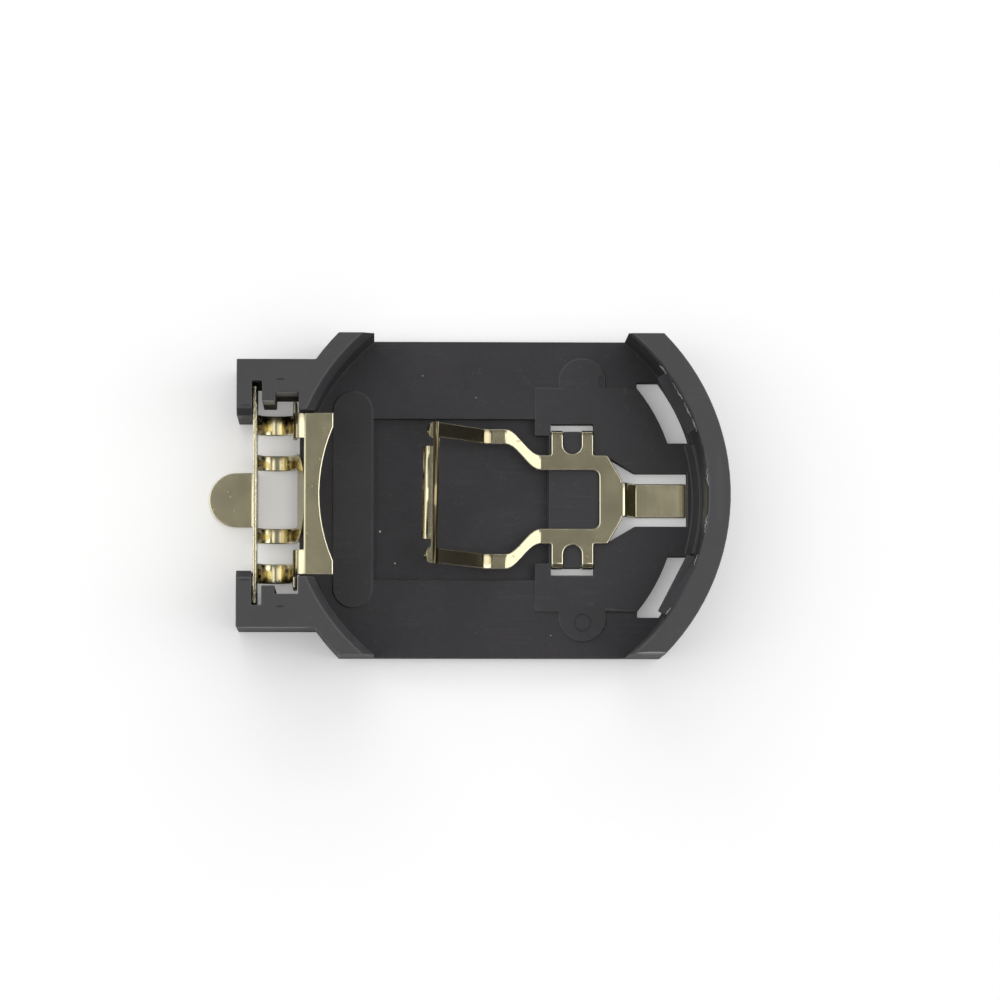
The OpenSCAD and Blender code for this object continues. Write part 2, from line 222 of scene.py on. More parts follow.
class EffectGroup:
    """A shader node group for one effect, built once and placed in several materials."""

    def __init__(self, name: str, inputs: dict[str, float], outputs: tuple[str, ...]) -> None:
        """Makes the group with a Vector input, the float inputs with their defaults, and float outputs."""
        self.tree = bpy.data.node_groups.new(name, "ShaderNodeTree")
        face = self.tree.interface
        face.new_socket("Vector", in_out="INPUT", socket_type="NodeSocketVector")
        for label, value in inputs.items():
            face.new_socket(label, in_out="INPUT", socket_type="NodeSocketFloat").default_value = value
        for label in outputs:
            face.new_socket(label, in_out="OUTPUT", socket_type="NodeSocketFloat")
        self.wiring = Wiring(self.tree)
        self.given = self.tree.nodes.new("NodeGroupInput").outputs
        self.result = self.tree.nodes.new("NodeGroupOutput").inputs

    def place(self, wiring: Wiring, vector: object, **values: object) -> bpy.types.Node:
        """Puts the group into a material.

        Args:
            wiring: the material's wiring.
            vector: the position it reads.
            values: its other inputs, by name.

        Returns:
            The group node.
        """
        made = wiring.node("ShaderNodeGroup", node_tree=self.tree)
        wiring.feed(made.inputs["Vector"], vector)
        for label, value in values.items():
            wiring.feed(made.inputs[label], value)
        return made


def mottle_group() -> EffectGroup:
    """Cloudy patches with finer patches on them: two noises added, then spread to 0..1.

    Returns:
        The group.
    """
    group = EffectGroup("mottle", {"Scale": 400.0, "Fine": 2600.0}, ("Mask",))
    w, given = group.wiring, group.given
    broad = w.noise(given["Vector"], given["Scale"], 3.0, 0.55)
    fine = w.noise(given["Vector"], given["Fine"], 2.0, 0.6)
    total = w.math("ADD", w.math("MULTIPLY", broad, 0.65), w.math("MULTIPLY", fine, 0.35))
    w.feed(group.result["Mask"], w.span(total, 0.36, 0.64))
    return group


def speck_group() -> EffectGroup:
    """Sparse round dots: cells near their own centre, kept where a broad noise is high.

    Returns:
        The group.
    """
    group = EffectGroup("specks", {"Scale": 2500.0, "Size": 0.2, "Keep": 0.6}, ("Mask",))
    w, given = group.wiring, group.given
    cells = w.node("ShaderNodeTexVoronoi")
    w.feed(cells.inputs["Vector"], given["Vector"])
    w.feed(cells.inputs["Scale"], given["Scale"])
    near = w.math("LESS_THAN", cells.outputs["Distance"], given["Size"])
    chosen = w.math("GREATER_THAN", w.noise(given["Vector"], 1300.0, 1.0), given["Keep"])
    w.feed(group.result["Mask"], w.math("MULTIPLY", near, chosen))
    return group


def scratch_group() -> EffectGroup:
    """Fine lines along X: a noise squeezed across the lines, kept where it is near its middle value.

    Returns:
        The group.
    """
    group = EffectGroup("scratches", {"Scale": 900.0, "Width": 0.02}, ("Lines", "Grain"))
    w, given = group.wiring, group.given
    drawn = w.stretch(given["Vector"], (0.12, 2.4, 1.0))
    value = w.noise(drawn, given["Scale"], 2.0, 0.6)
    off = w.math("ABSOLUTE", w.math("SUBTRACT", value, 0.5))
    line = w.math("LESS_THAN", off, given["Width"])
    where = w.span(w.noise(given["Vector"], 500.0, 1.0), 0.52, 0.62)
    w.feed(group.result["Lines"], w.math("MULTIPLY", line, where))
    w.feed(group.result["Grain"], value)
    return group


def spot_group() -> EffectGroup:
    """One soft oval spot between two heights: 1 near a centre, by distance with each axis scaled.

    Returns:
        The group.
    """
    inputs = {"X": 0.0, "Y": 0.0, "Reach X": 1.0, "Reach Y": 1.0, "Low": -1.0, "Top": 1.0}
    group = EffectGroup("spot", inputs, ("Mask",))
    w, given = group.wiring, group.given
    at = w.axes(given["Vector"])
    squares = []
    for axis in ("X", "Y"):
        away = w.math("DIVIDE", w.math("SUBTRACT", at[axis], given[axis]), given[f"Reach {axis}"])
        squares.append(w.math("MULTIPLY", away, away))
    rough = w.math("MULTIPLY", w.math("SUBTRACT", w.noise(given["Vector"], 6000.0), 0.5), 0.8)
    far = w.math("ADD", w.math("ADD", *squares), rough)
    within = w.math("MULTIPLY", w.math("LESS_THAN", at["Z"], given["Top"]),
                    w.math("GREATER_THAN", at["Z"], given["Low"]))
    w.feed(group.result["Mask"], w.math("MULTIPLY", w.span(far, 0.7, 1.2, 1.0, 0.0), within))
    return group


@dataclass
class Effects:
    """The shared effect groups."""

    mottle: EffectGroup = field(default_factory=mottle_group)
    specks: EffectGroup = field(default_factory=speck_group)
    scratches: EffectGroup = field(default_factory=scratch_group)
    spot: EffectGroup = field(default_factory=spot_group)


# -------------------------------------------------------------------------------- finishes


def new_material(name: str, shown: Colour) -> tuple[bpy.types.Material, Wiring, bpy.types.Node, Socket]:
    """Starts a material.

    Args:
        name: the material's name.
        shown: its colour in a plain viewport.

    Returns:
        The material, its wiring, its Principled shader and the Object coordinates.
    """
    material = bpy.data.materials.new(name)
    material.use_nodes = True
    material.diffuse_color = shown
    wiring = Wiring(material.node_tree)
    place = wiring.node("ShaderNodeTexCoord").outputs["Object"]
    return material, wiring, material.node_tree.nodes["Principled BSDF"], place


@dataclass(frozen=True)
class Mark:
    """A spot in a finish, for real nicks, rubbing and stains and for painted light and shade: centre and
    reach in mm, how strong it is, and the grey that it goes to.

    A tone below 0 is a dark spot. The spot stays between the heights low and top, in mm.
    """

    x: float
    y: float
    reach_x: float
    reach_y: float
    tone: float
    level: float = 0.115
    top: float = 9.0
    low: float = -9.0

    def mask(self, effects: "Effects", w: Wiring, place: Socket) -> Socket:
        """Places the spot.

        Args:
            effects: the shared effects.
            w: the material's wiring.
            place: Object coordinates.

        Returns:
            How strong the mark is, from 0 to 1.
        """
        values = {"X": self.x, "Y": self.y, "Reach X": self.reach_x, "Reach Y": self.reach_y,
                  "Low": self.low, "Top": self.top}
        spot = effects.spot.place(w, place, **{label: value * MM for label, value in values.items()})
        return w.math("MULTIPLY", spot.outputs["Mask"], abs(self.tone))


@dataclass(frozen=True)
class PlasticFinish:
    """Moulded black nylon: faint clouds, flow lines, scuffs and pale specks.

    The pads and the wall tops are painted paler, as painted light on the raised faces, by amounts that grow
    over two spans of height, in mm.
    """

    name: str
    dark: Colour = (0.0245, 0.0225, 0.0260, 1.0)
    light: Colour = (0.0350, 0.0320, 0.0365, 1.0)
    scuff_and_light_tone: Colour = grey(0.115, -0.01)
    nick_and_shade_tone: Colour = grey(0.012)
    roughness: float = 0.54
    pad_span: tuple[float, float] = (0.93, 0.97)
    pad_painted_light: float = 0.07
    top_span: tuple[float, float] = (5.1, 5.18)
    top_painted_light: float = 0.3
    line_share: float = 0.08
    speck_share: float = 0.35
    relief: float = 0.35
    marks: tuple[Mark, ...] = ()

    def material(self, effects: Effects) -> bpy.types.Material:
        """Builds the material from the shared effects."""
        material, w, shader, place = new_material(self.name, self.light)
        clouds = effects.mottle.place(w, place, Scale=330.0, Fine=3300.0).outputs["Mask"]
        lines = effects.scratches.place(w, place, Scale=700.0, Width=0.012)
        specks = effects.specks.place(w, place, Scale=5200.0, Size=0.18, Keep=0.63).outputs["Mask"]
        colour = w.mix(clouds, self.dark, self.light)
        z = w.axes(place)["Z"]
        # Painted light: raised pads and wall tops are drawn paler by height, towards the pale tone.
        pads = w.span(z, self.pad_span[0] * MM, self.pad_span[1] * MM, 0.0, self.pad_painted_light)
        tops = w.span(z, self.top_span[0] * MM, self.top_span[1] * MM, 0.0, self.top_painted_light)
        colour = w.mix(w.math("ADD", pads, tops), colour, self.scuff_and_light_tone)
        colour = w.mix(w.math("MULTIPLY", lines.outputs["Lines"], self.line_share), colour, self.scuff_and_light_tone)
        colour = w.mix(w.math("MULTIPLY", specks, self.speck_share), colour, self.scuff_and_light_tone)
        # Dark marks go to the nick colour, which also serves painted shade; pale ones go to their own grey,
        # which also serves painted light.
        for mark in self.marks:
            goal = grey(mark.level) if mark.tone > 0 else self.nick_and_shade_tone
            colour = w.mix(mark.mask(effects, w, place), colour, goal)
        w.feed(shader.inputs["Base Color"], colour)
        w.feed(shader.inputs["Roughness"], w.math("ADD", w.math("MULTIPLY", clouds, 0.1), self.roughness))
        grain = w.noise(place, 9000.0, detail=2.0, roughness=0.6)
        height = w.math("ADD", w.math("MULTIPLY", grain, 0.6), w.math("MULTIPLY", clouds, 0.9))
        w.feed(shader.inputs["Normal"], w.bump(height, self.relief))
        return material


@dataclass(frozen=True)
class ContactFinish:
    """Pale gold plating on rolled sheet: rolling lines, handling marks, brown tarnish and small pits; some
    brown marks are painted dark reflections and painted shade.
    """

    name: str
    plating: Colour = (0.80, 0.73, 0.485, 1.0)
    tarnish: Colour = (0.50, 0.40, 0.235, 1.0)
    stain_and_shade_tone: Colour = (0.18, 0.13, 0.06, 1.0)
    polished: Colour = (0.95, 0.88, 0.66, 1.0)
    roughness: float = 0.13
    wave: float = 0.04
    cloud_share: float = 0.03
    pit_share: float = 0.15
    smudges_and_painted_shade: tuple[Mark, ...] = ()

    def material(self, effects: Effects) -> bpy.types.Material:
        """Builds the material from the shared effects."""
        material, w, shader, place = new_material(self.name, self.plating)
        shader.inputs["Metallic"].default_value = 1.0
        clouds = effects.mottle.place(w, place, Scale=900.0, Fine=3800.0).outputs["Mask"]
        lines = effects.scratches.place(w, place, Scale=2600.0, Width=0.03)
        pits = effects.specks.place(w, place, Scale=4200.0, Size=0.16, Keep=0.6).outputs["Mask"]
        colour = w.mix(w.math("MULTIPLY", clouds, self.cloud_share), self.plating, self.tarnish)
        colour = w.mix(w.math("MULTIPLY", pits, self.pit_share), colour, self.tarnish)
        # Dark marks go to the brown of stains, which also serves painted dark reflections and painted shade;
        # pale ones go to the polished colour.
        for mark in self.smudges_and_painted_shade:
            goal = self.stain_and_shade_tone if mark.tone < 0 else self.polished
            colour = w.mix(mark.mask(effects, w, place), colour, goal)
        w.feed(shader.inputs["Base Color"], colour)
        rough = w.math("ADD", w.math("MULTIPLY", clouds, 0.03), self.roughness)
        w.feed(shader.inputs["Roughness"], w.math("ADD", rough, w.math("MULTIPLY", pits, 0.1)))
        swell = w.noise(place, 1100.0, detail=2.0, roughness=0.4)
        height = w.math("ADD", w.math("MULTIPLY", lines.outputs["Grain"], 0.35), swell)
        height = w.math("SUBTRACT", height, w.math("MULTIPLY", pits, 0.5))
        w.feed(shader.inputs["Normal"], w.bump(height, self.wave))
        return material


def plated_edge(name: str, smudges_and_painted_shade: tuple[Mark, ...] = ()) -> ContactFinish:
    """The plating of a rounded edge: duller than on a face, and paler, as a painted highlight along the edge.
    """
    return ContactFinish(name, plating=(0.97, 0.91, 0.68, 1.0), roughness=0.24, smudges_and_painted_shade=smudges_and_painted_shade)


# -------------------------------------------------------------------------------- mesh helpers


def wrapped_faces(rings: int, sides: int, closed: bool) -> np.ndarray:
    """Quads of a grid that wraps round its second parameter.

    Args:
        rings: number of rings.
        sides: points in each ring.
        closed: join the last ring to the first.

    Returns:
        Vertex numbers, one row of four for each quad.
    """
    ring = np.arange(rings if closed else rings - 1)[:, None]
    side = np.arange(sides)[None, :]
    after, beside = (ring + 1) % rings, (side + 1) % sides
    quads = np.stack([ring * sides + side, ring * sides + beside,
                      after * sides + beside, after * sides + side], -1)
    return quads.reshape(-1, 4)


def tube(centres: np.ndarray, side: np.ndarray, up: np.ndarray, half_w: np.ndarray, half_h: np.ndarray,
         sides: int = 10) -> Shape:
    """A closed oval tube along a path, pinched to a point at each end.

    A point is centre + half_w * cos(t) * side + half_h * sin(t) * up, with t once round each ring. Every ring
    is one row of the grid, and one more vertex closes each end.

    Args:
        centres: points of the path, one row each.
        side: unit vectors across the path.
        up: unit vectors away from the surface.
        half_w: half widths along side.
        half_h: half heights along up.
        sides: points in each ring.

    Returns:
        Vertices and faces.
    """
    turn = np.linspace(0, 2 * np.pi, sides, endpoint=False)
    across = half_w[:, None, None] * np.cos(turn)[None, :, None] * side[:, None, :]
    rise = half_h[:, None, None] * np.sin(turn)[None, :, None] * up[:, None, :]
    rings = centres[:, None, :] + across + rise
    count = len(centres)
    points = np.concatenate([rings.reshape(-1, 3), centres[:1], centres[-1:]])
    first, last = count * sides, count * sides + 1
    k = np.arange(sides)
    start = np.stack([np.full(sides, first), (k + 1) % sides, k], 1)
    end = np.stack([np.full(sides, last), (count - 1) * sides + k, (count - 1) * sides + (k + 1) % sides], 1)
    return points, wrapped_faces(count, sides, False).tolist() + start.tolist() + end.tolist()


def wander(seed: int, count: int, knots: int) -> np.ndarray:
    """A smooth seeded random line from 0 to 1: random knots joined by cosine steps.

    Args:
        seed: the draw's seed.
        count: number of values.
        knots: number of random knots.

    Returns:
        The values.
    """
    drawn = np.random.default_rng(seed).random(knots + 1)
    at = np.linspace(0, knots - 1e-6, count)
    low = at.astype(int)
    share = (1 - np.cos(np.pi * (at - low))) / 2
    return drawn[low] * (1 - share) + drawn[low + 1] * share


def joined(parts: list[Shape]) -> Shape:
    """Several shapes as one.

    Args:
        parts: vertices and faces of each shape.

    Returns:
        Vertices and faces of them all.
    """
    points, faces, start = [], [], 0
    for some, some_faces in parts:
        points.append(some)
        faces += [[v + start for v in f] for f in some_faces]
        start += len(some)
    return np.concatenate(points), faces


def piece_from(name: str, shape: Shape, finish: bpy.types.Material) -> bpy.types.Object:
    """Makes a finished, smooth-shaded piece that rides on the holder.

    Args:
        name: the piece's name.
        shape: vertices in mm, and the vertex numbers of each face.
        finish: its material.

    Returns:
        The piece.
    """
    points, faces = shape
    mesh = bpy.data.meshes.new(name)
    mesh.from_pydata((points * MM).tolist(), [], faces)
    work = bmesh.new()
    work.from_mesh(mesh)
    bmesh.ops.recalc_face_normals(work, faces=work.faces)
    work.to_mesh(mesh)
    work.free()
    mesh.shade_smooth()
    mesh.materials.append(finish)
    piece = bpy.data.objects.new(name, mesh)
    bpy.context.scene.collection.objects.link(piece)
    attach(piece, BODY)
    LOG.info("%s: %d vertices", name, len(points))
    return piece


@dataclass
class SoftenedSolid:
    """A copy of a frame solid, merged, with its edges rounded."""

    node: str
    name: str
    slot: Slot
    edge_r: float
    edge_steps: int = 3
    merge: float = 0.002
    sharp_deg: float = 28.0
    flat_deg: float = 0.6
    flat_weight: int = 60

    def shaped(self, points: np.ndarray) -> np.ndarray:
        """The vertices in mm, moved where the real piece differs from its drawing; unchanged here."""
        return points

    def weigh(self, work: bmesh.types.BMesh) -> None:
        """Gives each sharp edge its share of the full rounding, the smaller of its two ends' shares.

        Args:
            work: the merged copy.
        """
        weight = work.edges.layers.float.new("bevel_weight_edge")
        for edge in work.edges:
            if edge.calc_face_angle(0.0) > math.radians(self.sharp_deg):
                edge[weight] = min(self.softness(v.co / MM) for v in edge.verts)

    def softness(self, point: Vector) -> float:
        """The share of the full rounding at a vertex, in mm; whole here."""
        return 1.0

    def copied(self) -> bpy.types.Mesh:
        """Copies the solid's mesh, merges it, marks its edges and moves its vertices.

        Returns:
            The mesh, before its edges are rounded.
        """
        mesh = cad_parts[self.node].data.copy()
        mesh.name = self.name
        work = bmesh.new()
        work.from_mesh(mesh)
        bmesh.ops.remove_doubles(work, verts=work.verts, dist=self.merge * MM)
        flat = math.radians(self.flat_deg)
        bmesh.ops.dissolve_limit(work, angle_limit=flat, verts=work.verts, edges=work.edges)
        self.weigh(work)
        work.to_mesh(mesh)
        work.free()
        points = np.empty(len(mesh.vertices) * 3, np.float32)
        mesh.vertices.foreach_get("co", points)
        moved = self.shaped(points.reshape(-1, 3).astype(float) / MM) * MM
        mesh.vertices.foreach_set("co", moved.astype(np.float32).ravel())
        mesh.update()
        return mesh

    def build(self, finish: bpy.types.Material, edge_finish: bpy.types.Material) -> bpy.types.Object:
        """Softens a copy of the solid, and stands it in for its node.

        Args:
            finish: material of the faces.
            edge_finish: material of the rounded edges.

        Returns:
            The piece.
        """
        mesh = self.copied()
        mesh.materials.clear()
        mesh.materials.append(finish)
        mesh.materials.append(edge_finish)
        mesh.polygons.foreach_set("material_index", np.zeros(len(mesh.polygons), np.int32))
        mesh.shade_smooth()
        piece = bpy.data.objects.new(self.name, mesh)
        bpy.context.scene.collection.objects.link(piece)
        soft = piece.modifiers.new("soft_edges", "BEVEL")
        soft.width = self.edge_r * MM
        soft.segments = self.edge_steps
        soft.use_clamp_overlap = False
        soft.limit_method = "WEIGHT"
        soft.miter_outer = "MITER_ARC"
        soft.material = 1
        shade = piece.modifiers.new("even_shading", "WEIGHTED_NORMAL")
        shade.weight = self.flat_weight
        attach(piece, BODY)
        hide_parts(self.node)
        LOG.info("%s: %d faces before softening", self.name, len(mesh.polygons))
        return piece


# -------------------------------------------------------------------------------- sub-assemblies


@dataclass
class TraySolid(SoftenedSolid):
    """The tray, whose rim stays sharp along the two lips, because their slopes run out in it."""

    rim_r: float = 10.25
    rim_z: float = 4.8
    rim_band: float = 0.5
    lip_deg: tuple[float, float] = (13.0, 38.0)

    def softness(self, point: Vector) -> float:
        """None on the rim's inner edge at a lip, and all of it elsewhere.

        Args:
            point: a vertex in mm.

        Returns:
            The share of the full rounding.
        """
        turn = abs(math.degrees(math.atan2(point.y, point.x)))
        at_rim = point.z > self.rim_z and abs(math.hypot(point.x, point.y) - self.rim_r) < self.rim_band
        return 0.0 if at_rim and self.lip_deg[0] < turn < self.lip_deg[1] else 1.0


@dataclass
class Housing:
    """The moulded tray with what the mould left on it."""

    pad_z: float = 1.0
    top_z: float = 5.2
    flash_z: float = 5.17
    pocket_r: float = 10.25
    boss: tuple[float, float] = (4.2, 6.0)
    body: TraySolid = field(default_factory=lambda: TraySolid("housing", "holder_body", Slot.HOUSING, 0.045))

    def finish(self) -> PlasticFinish:
        """Plastic of the tray, with its nicks, dark marks by the slots, scuffs and pale marks on two rims,
        and with painted light on the ear walls and painted shade at the foot of the arc wall.

        Returns:
            The finish.
        """
        nicks = tuple(Mark(-11.05, s.value * 5.68, 0.22, 0.05, -0.75) for s in Side)
        slots = tuple(Mark(-12.75, s.value * 4.35, 0.3, 0.06, -0.5) for s in Side)
        scuffs = (Mark(6.4, 5.55, 0.06, 0.2, 0.22), Mark(4.6, -5.3, 0.16, 0.1, 0.16),
                  Mark(10.9, 0.2, 0.2, 1.8, 0.14))
        below = self.top_z - 0.06
        # Pale spots on the ear walls and the lower ear's chamfer: painted light where these faces catch the
        # light.
        lit_ear_walls = (Mark(-13.2, 3.64, 0.5, 0.25, 0.7, 0.3, below, 3.6),
                Mark(-10.85, 5.02, 0.7, 0.14, 0.9, 0.5, below, 2.8),
                Mark(-11.6, 4.66, 0.42, 0.14, 0.9, 0.55, below, 2.8),
                Mark(-11.3, -6.85, 2.1, 0.3, 0.7, 0.22, below, 3.8))
        rims = (Mark(-9.0, -7.98, 0.9, 0.1, 0.6, 0.3, low=4.9),
                Mark(7.6, -8.0, 0.9, 0.08, 0.6, 0.42, low=4.95))
        # A dark band at the foot of the arc wall: painted shade.
        arc_shade = (Mark(10.3, 0.0, 0.1, 1.3, -0.6),)
        return PlasticFinish("moulded_nylon", marks=nicks + slots + scuffs + lit_ear_walls + rims + arc_shade)

    def flash(self, start: float, end: float, radius: float, seed: int, width: float) -> Shape:
        """A thin sliver of flash along an arc of the rim.

        The path is radius * (cos a, sin a) at height flash_z, for a from start to end. Its width and its
        distance from the axis wander, and it pinches out at both ends.

        Args:
            start: first angle in degrees.
            end: last angle in degrees.
            radius: distance from the axis.
            seed: seed of the wander.
            width: largest half width.

        Returns:
            Vertices and faces.
        """
        count = 90
        angle = np.radians(np.linspace(start, end, count))
        out = np.stack([np.cos(angle), np.sin(angle), np.zeros(count)], 1)
        up = np.tile([0.0, 0.0, 1.0], (count, 1))
        reach = radius + 0.05 * (wander(seed, count, 9) - 0.5)
        fade = np.sin(np.linspace(0.04, np.pi - 0.04, count)) ** 0.4
        half = width * fade * (0.25 + 0.75 * wander(seed + 1, count, 14))
        centres = out * reach[:, None] + up * self.flash_z
        return tube(centres, out, up, half, 0.35 * half)

    def ring_mark(self, centre: Point, reach: tuple[float, float], half: float) -> Shape:
        """A raised ring or oval on the floor.

        The ring's line is centre + (reach_x * cos a, reach_y * sin a), and its section is a circle of radius
        half, so the surface is a torus stretched in Y.

        Args:
            centre: middle of the ring.
            reach: its two radii.
            half: radius of its section.

        Returns:
            Vertices and faces.
        """
        rings, sides = 48, 10
        a = np.linspace(0, 2 * np.pi, rings, endpoint=False)[:, None]
        b = np.linspace(0, 2 * np.pi, sides, endpoint=False)[None, :]
        x = centre[0] + (reach[0] + half * np.cos(b)) * np.cos(a)
        y = centre[1] + (reach[1] + half * np.cos(b)) * np.sin(a)
        z = centre[2] + half * np.sin(b) + 0 * a
        return np.stack([x, y, z], -1).reshape(-1, 3), wrapped_faces(rings, sides, True).tolist()

    def build(self, effects: Effects) -> None:
        """Builds the tray, the flash and the mould marks."""
        plastic = self.finish()
        # The rounded edges are paler than the faces, as a painted highlight along them, and paler still at
        # pad height.
        edge = PlasticFinish("moulded_nylon_lit_edge", dark=grey(0.034), light=grey(0.058), roughness=0.42,
                             pad_painted_light=0.2)
        self.body.build(plastic.material(effects), edge.material(effects))
        pale = PlasticFinish("thin_flash", dark=grey(0.10), light=grey(0.30), scuff_and_light_tone=grey(0.4),
                             roughness=0.35, top_painted_light=0.0)
        lip_r, arc_r = self.pocket_r - 0.05, self.pocket_r + 0.06
        slivers = ((17.6, 21.5, lip_r + 0.04, 3, 0.05), (22, 26.5, lip_r, 5, 0.06),
                   (27.5, 33, lip_r - 0.02, 7, 0.055), (36, 39, lip_r - 0.01, 9, 0.06),
                   (-11, -6, arc_r, 11, 0.05), (2, 7, arc_r, 13, 0.035),
                   (-20.5, -17.5, lip_r + 0.04, 15, 0.04), (-36.5, -34.2, lip_r - 0.02, 17, 0.055))
        flashes = joined([self.flash(*sliver) for sliver in slivers])
        piece_from("wall_flash", flashes, pale.material(effects))
        x, y = self.boss
        marks = [self.ring_mark((x, -y - 0.22, self.pad_z), (0.4, 0.42), 0.035),
                 self.ring_mark((x + 0.95, y + 0.05, self.pad_z), (0.09, 0.26), 0.03)]
        piece_from("mould_marks", joined(marks), plastic.material(effects))


@dataclass
class PlateSolid(SoftenedSolid):
    """The folded plate, whose edges stay sharp where the strips run into the back plate."""

    root_x: float = -12.2
    root_band: float = 0.09
    root_z: float = 1.8
    slit_x: float = -10.0
    slit_band: float = 0.4
    slit_y: tuple[float, float] = (2.5, 3.6)
    slit_z: float = 4.0
    slit_share: float = 0.25

    def softness(self, point: Vector) -> float:
        """None at the root of a strip, a little at the narrow slits beside the shoulders, and all elsewhere.

        Args:
            point: a vertex in mm.

        Returns:
            The share of the full rounding.
        """
        if abs(point.x - self.root_x) < self.root_band and point.z < self.root_z:
            return 0.0
        along = abs(point.x - self.slit_x) < self.slit_band and point.z > self.slit_z
        return self.slit_share if along and self.slit_y[0] < abs(point.y) < self.slit_y[1] else 1.0


@dataclass
class PositiveContact:
    """The folded plate at the block: its burred back edge and its plating."""

    back_x: float = -12.34
    back_top_z: float = 4.1
    back_half_w: float = 5.5
    body: PlateSolid = field(
        default_factory=lambda: PlateSolid("positive_contact", "positive_plate", Slot.CONTACT, 0.065))

    def burr(self, seed: int, x: float, width: float) -> Shape:
        """The ragged lip that the shear left along the top of the back plate.

        The path runs along Y at the plate's top edge. Its width wanders, and it pinches out at both ends.

        Args:
            seed: seed of the wander.
            x: middle of the lip.
            width: largest half width.

        Returns:
            Vertices and faces.
        """
        count = 260
        y = np.linspace(-self.back_half_w + 0.06, self.back_half_w - 0.06, count)
        drift = 0.035 * (wander(seed, count, 60) - 0.5)
        centres = np.stack([x + drift, y, np.full(count, self.back_top_z - 0.005)], 1)
        across, up = np.tile([1.0, 0.0, 0.0], (count, 1)), np.tile([0.0, 0.0, 1.0], (count, 1))
        ragged = width * (0.3 + 0.9 * wander(seed + 1, count, 90) ** 2)
        return tube(centres, across, up, ragged, 0.5 * ragged, 8)

    def build(self, effects: Effects) -> None:
        """Builds the plate and its burr."""
        # The two dark bands low in the troughs, below 1.5 mm, are painted dark reflection on their steep
        # sides; the two pale spots are marks on the plate.
        smudges_and_painted_shade = (Mark(-14.2, 0.7, 0.2, 0.2, 0.12), Mark(-9.2, -3.4, 0.35, 0.25, 0.08),
                   Mark(-12.12, 0.0, 0.26, 20.0, -0.5, top=1.5), Mark(-10.76, 0.0, 0.33, 20.0, -0.5, top=1.5))
        faces = ContactFinish("gold_plating", roughness=0.17, smudges_and_painted_shade=smudges_and_painted_shade).material(effects)
        self.body.build(faces, plated_edge("gold_plating_edge").material(effects))
        sheared = ContactFinish("sheared_edge", plating=(0.9, 0.84, 0.62, 1.0),
                                tarnish=(0.2, 0.15, 0.08, 1.0), roughness=0.35, wave=0.9)
        lips = [self.burr(31, self.back_x - 0.06, 0.05), self.burr(41, self.back_x + 0.05, 0.04)]
        piece_from("plate_burr", joined(lips), sheared.material(effects))


@dataclass
class SpringSolid(SoftenedSolid):
    """The spring, with the slight twist that its free end has."""

    start_x: float = -0.3
    full_x: float = -3.3
    skew_deg: float = 1.3
    side_shift: float = 0.13
    nub_x: float = -3.2
    nub_y: float = 2.2
    nub_z: float = 3.4

    def softness(self, point: Vector) -> float:
        """None at the ends of the cross bar, and all of it elsewhere."""
        return 0.0 if point.x < self.nub_x and abs(point.y) > self.nub_y and point.z > self.nub_z else 1.0

    def shaped(self, points: np.ndarray) -> np.ndarray:
        """Skews the free end.

        The share t grows smoothly from 0 at start_x to 1 at full_x. X moves by t * y * tan(skew) and Y by
        t * side_shift.

        Args:
            points: vertices in mm.

        Returns:
            The moved vertices.
        """
        t = np.clip((points[:, 0] - self.start_x) / (self.full_x - self.start_x), 0, 1)
        t = t * t * (3 - 2 * t)
        moved = points.copy()
        moved[:, 0] += t * points[:, 1] * math.tan(math.radians(self.skew_deg))
        moved[:, 1] += t * self.side_shift
        return moved


@dataclass
class NegativeContact:
    """The stamped spring under the cell."""

    body: SpringSolid = field(
        default_factory=lambda: SpringSolid("negative_contact", "spring_plate", Slot.CONTACT, 0.065))

    def build(self, effects: Effects) -> None:
        """Builds the spring, with smudged spots on its base, brown painted dark reflections at its cross
        bar's bend and its arms' bends, and painted shade at its tail's end.
        """
        base = (Mark(0.95, 2.95, 0.12, 0.06, -0.4), Mark(0.7, -2.9, 0.07, 0.09, -0.3),
                Mark(1.0, -2.4, 0.06, 0.05, -0.35), Mark(4.1, 1.6, 0.3, 0.12, 0.12),
                Mark(5.9, -0.9, 0.07, 0.07, 0.4))
        # Brown bands at the cross bar's bend and at the arms' bends: painted dark reflections.
        bend_reflections = (Mark(-3.28, 0.0, 0.15, 8.0, -0.85), Mark(-0.65, 3.15, 0.3, 0.5, -0.5),
                 Mark(-0.65, -2.9, 0.3, 0.5, -0.5))
        # Brown bands at the tail's end, by the wall: painted shade.
        tail_end_shade = (Mark(9.5, 0.0, 0.34, 4.0, -0.3), Mark(9.5, 0.0, 0.18, 4.0, -0.6))
        smudges_and_painted_shade = base + bend_reflections + tail_end_shade
        faces = ContactFinish("gold_plating_spring", smudges_and_painted_shade=smudges_and_painted_shade)
        edges = plated_edge("gold_plating_spring_edge", smudges_and_painted_shade)
        self.body.build(faces.material(effects), edges.material(effects))


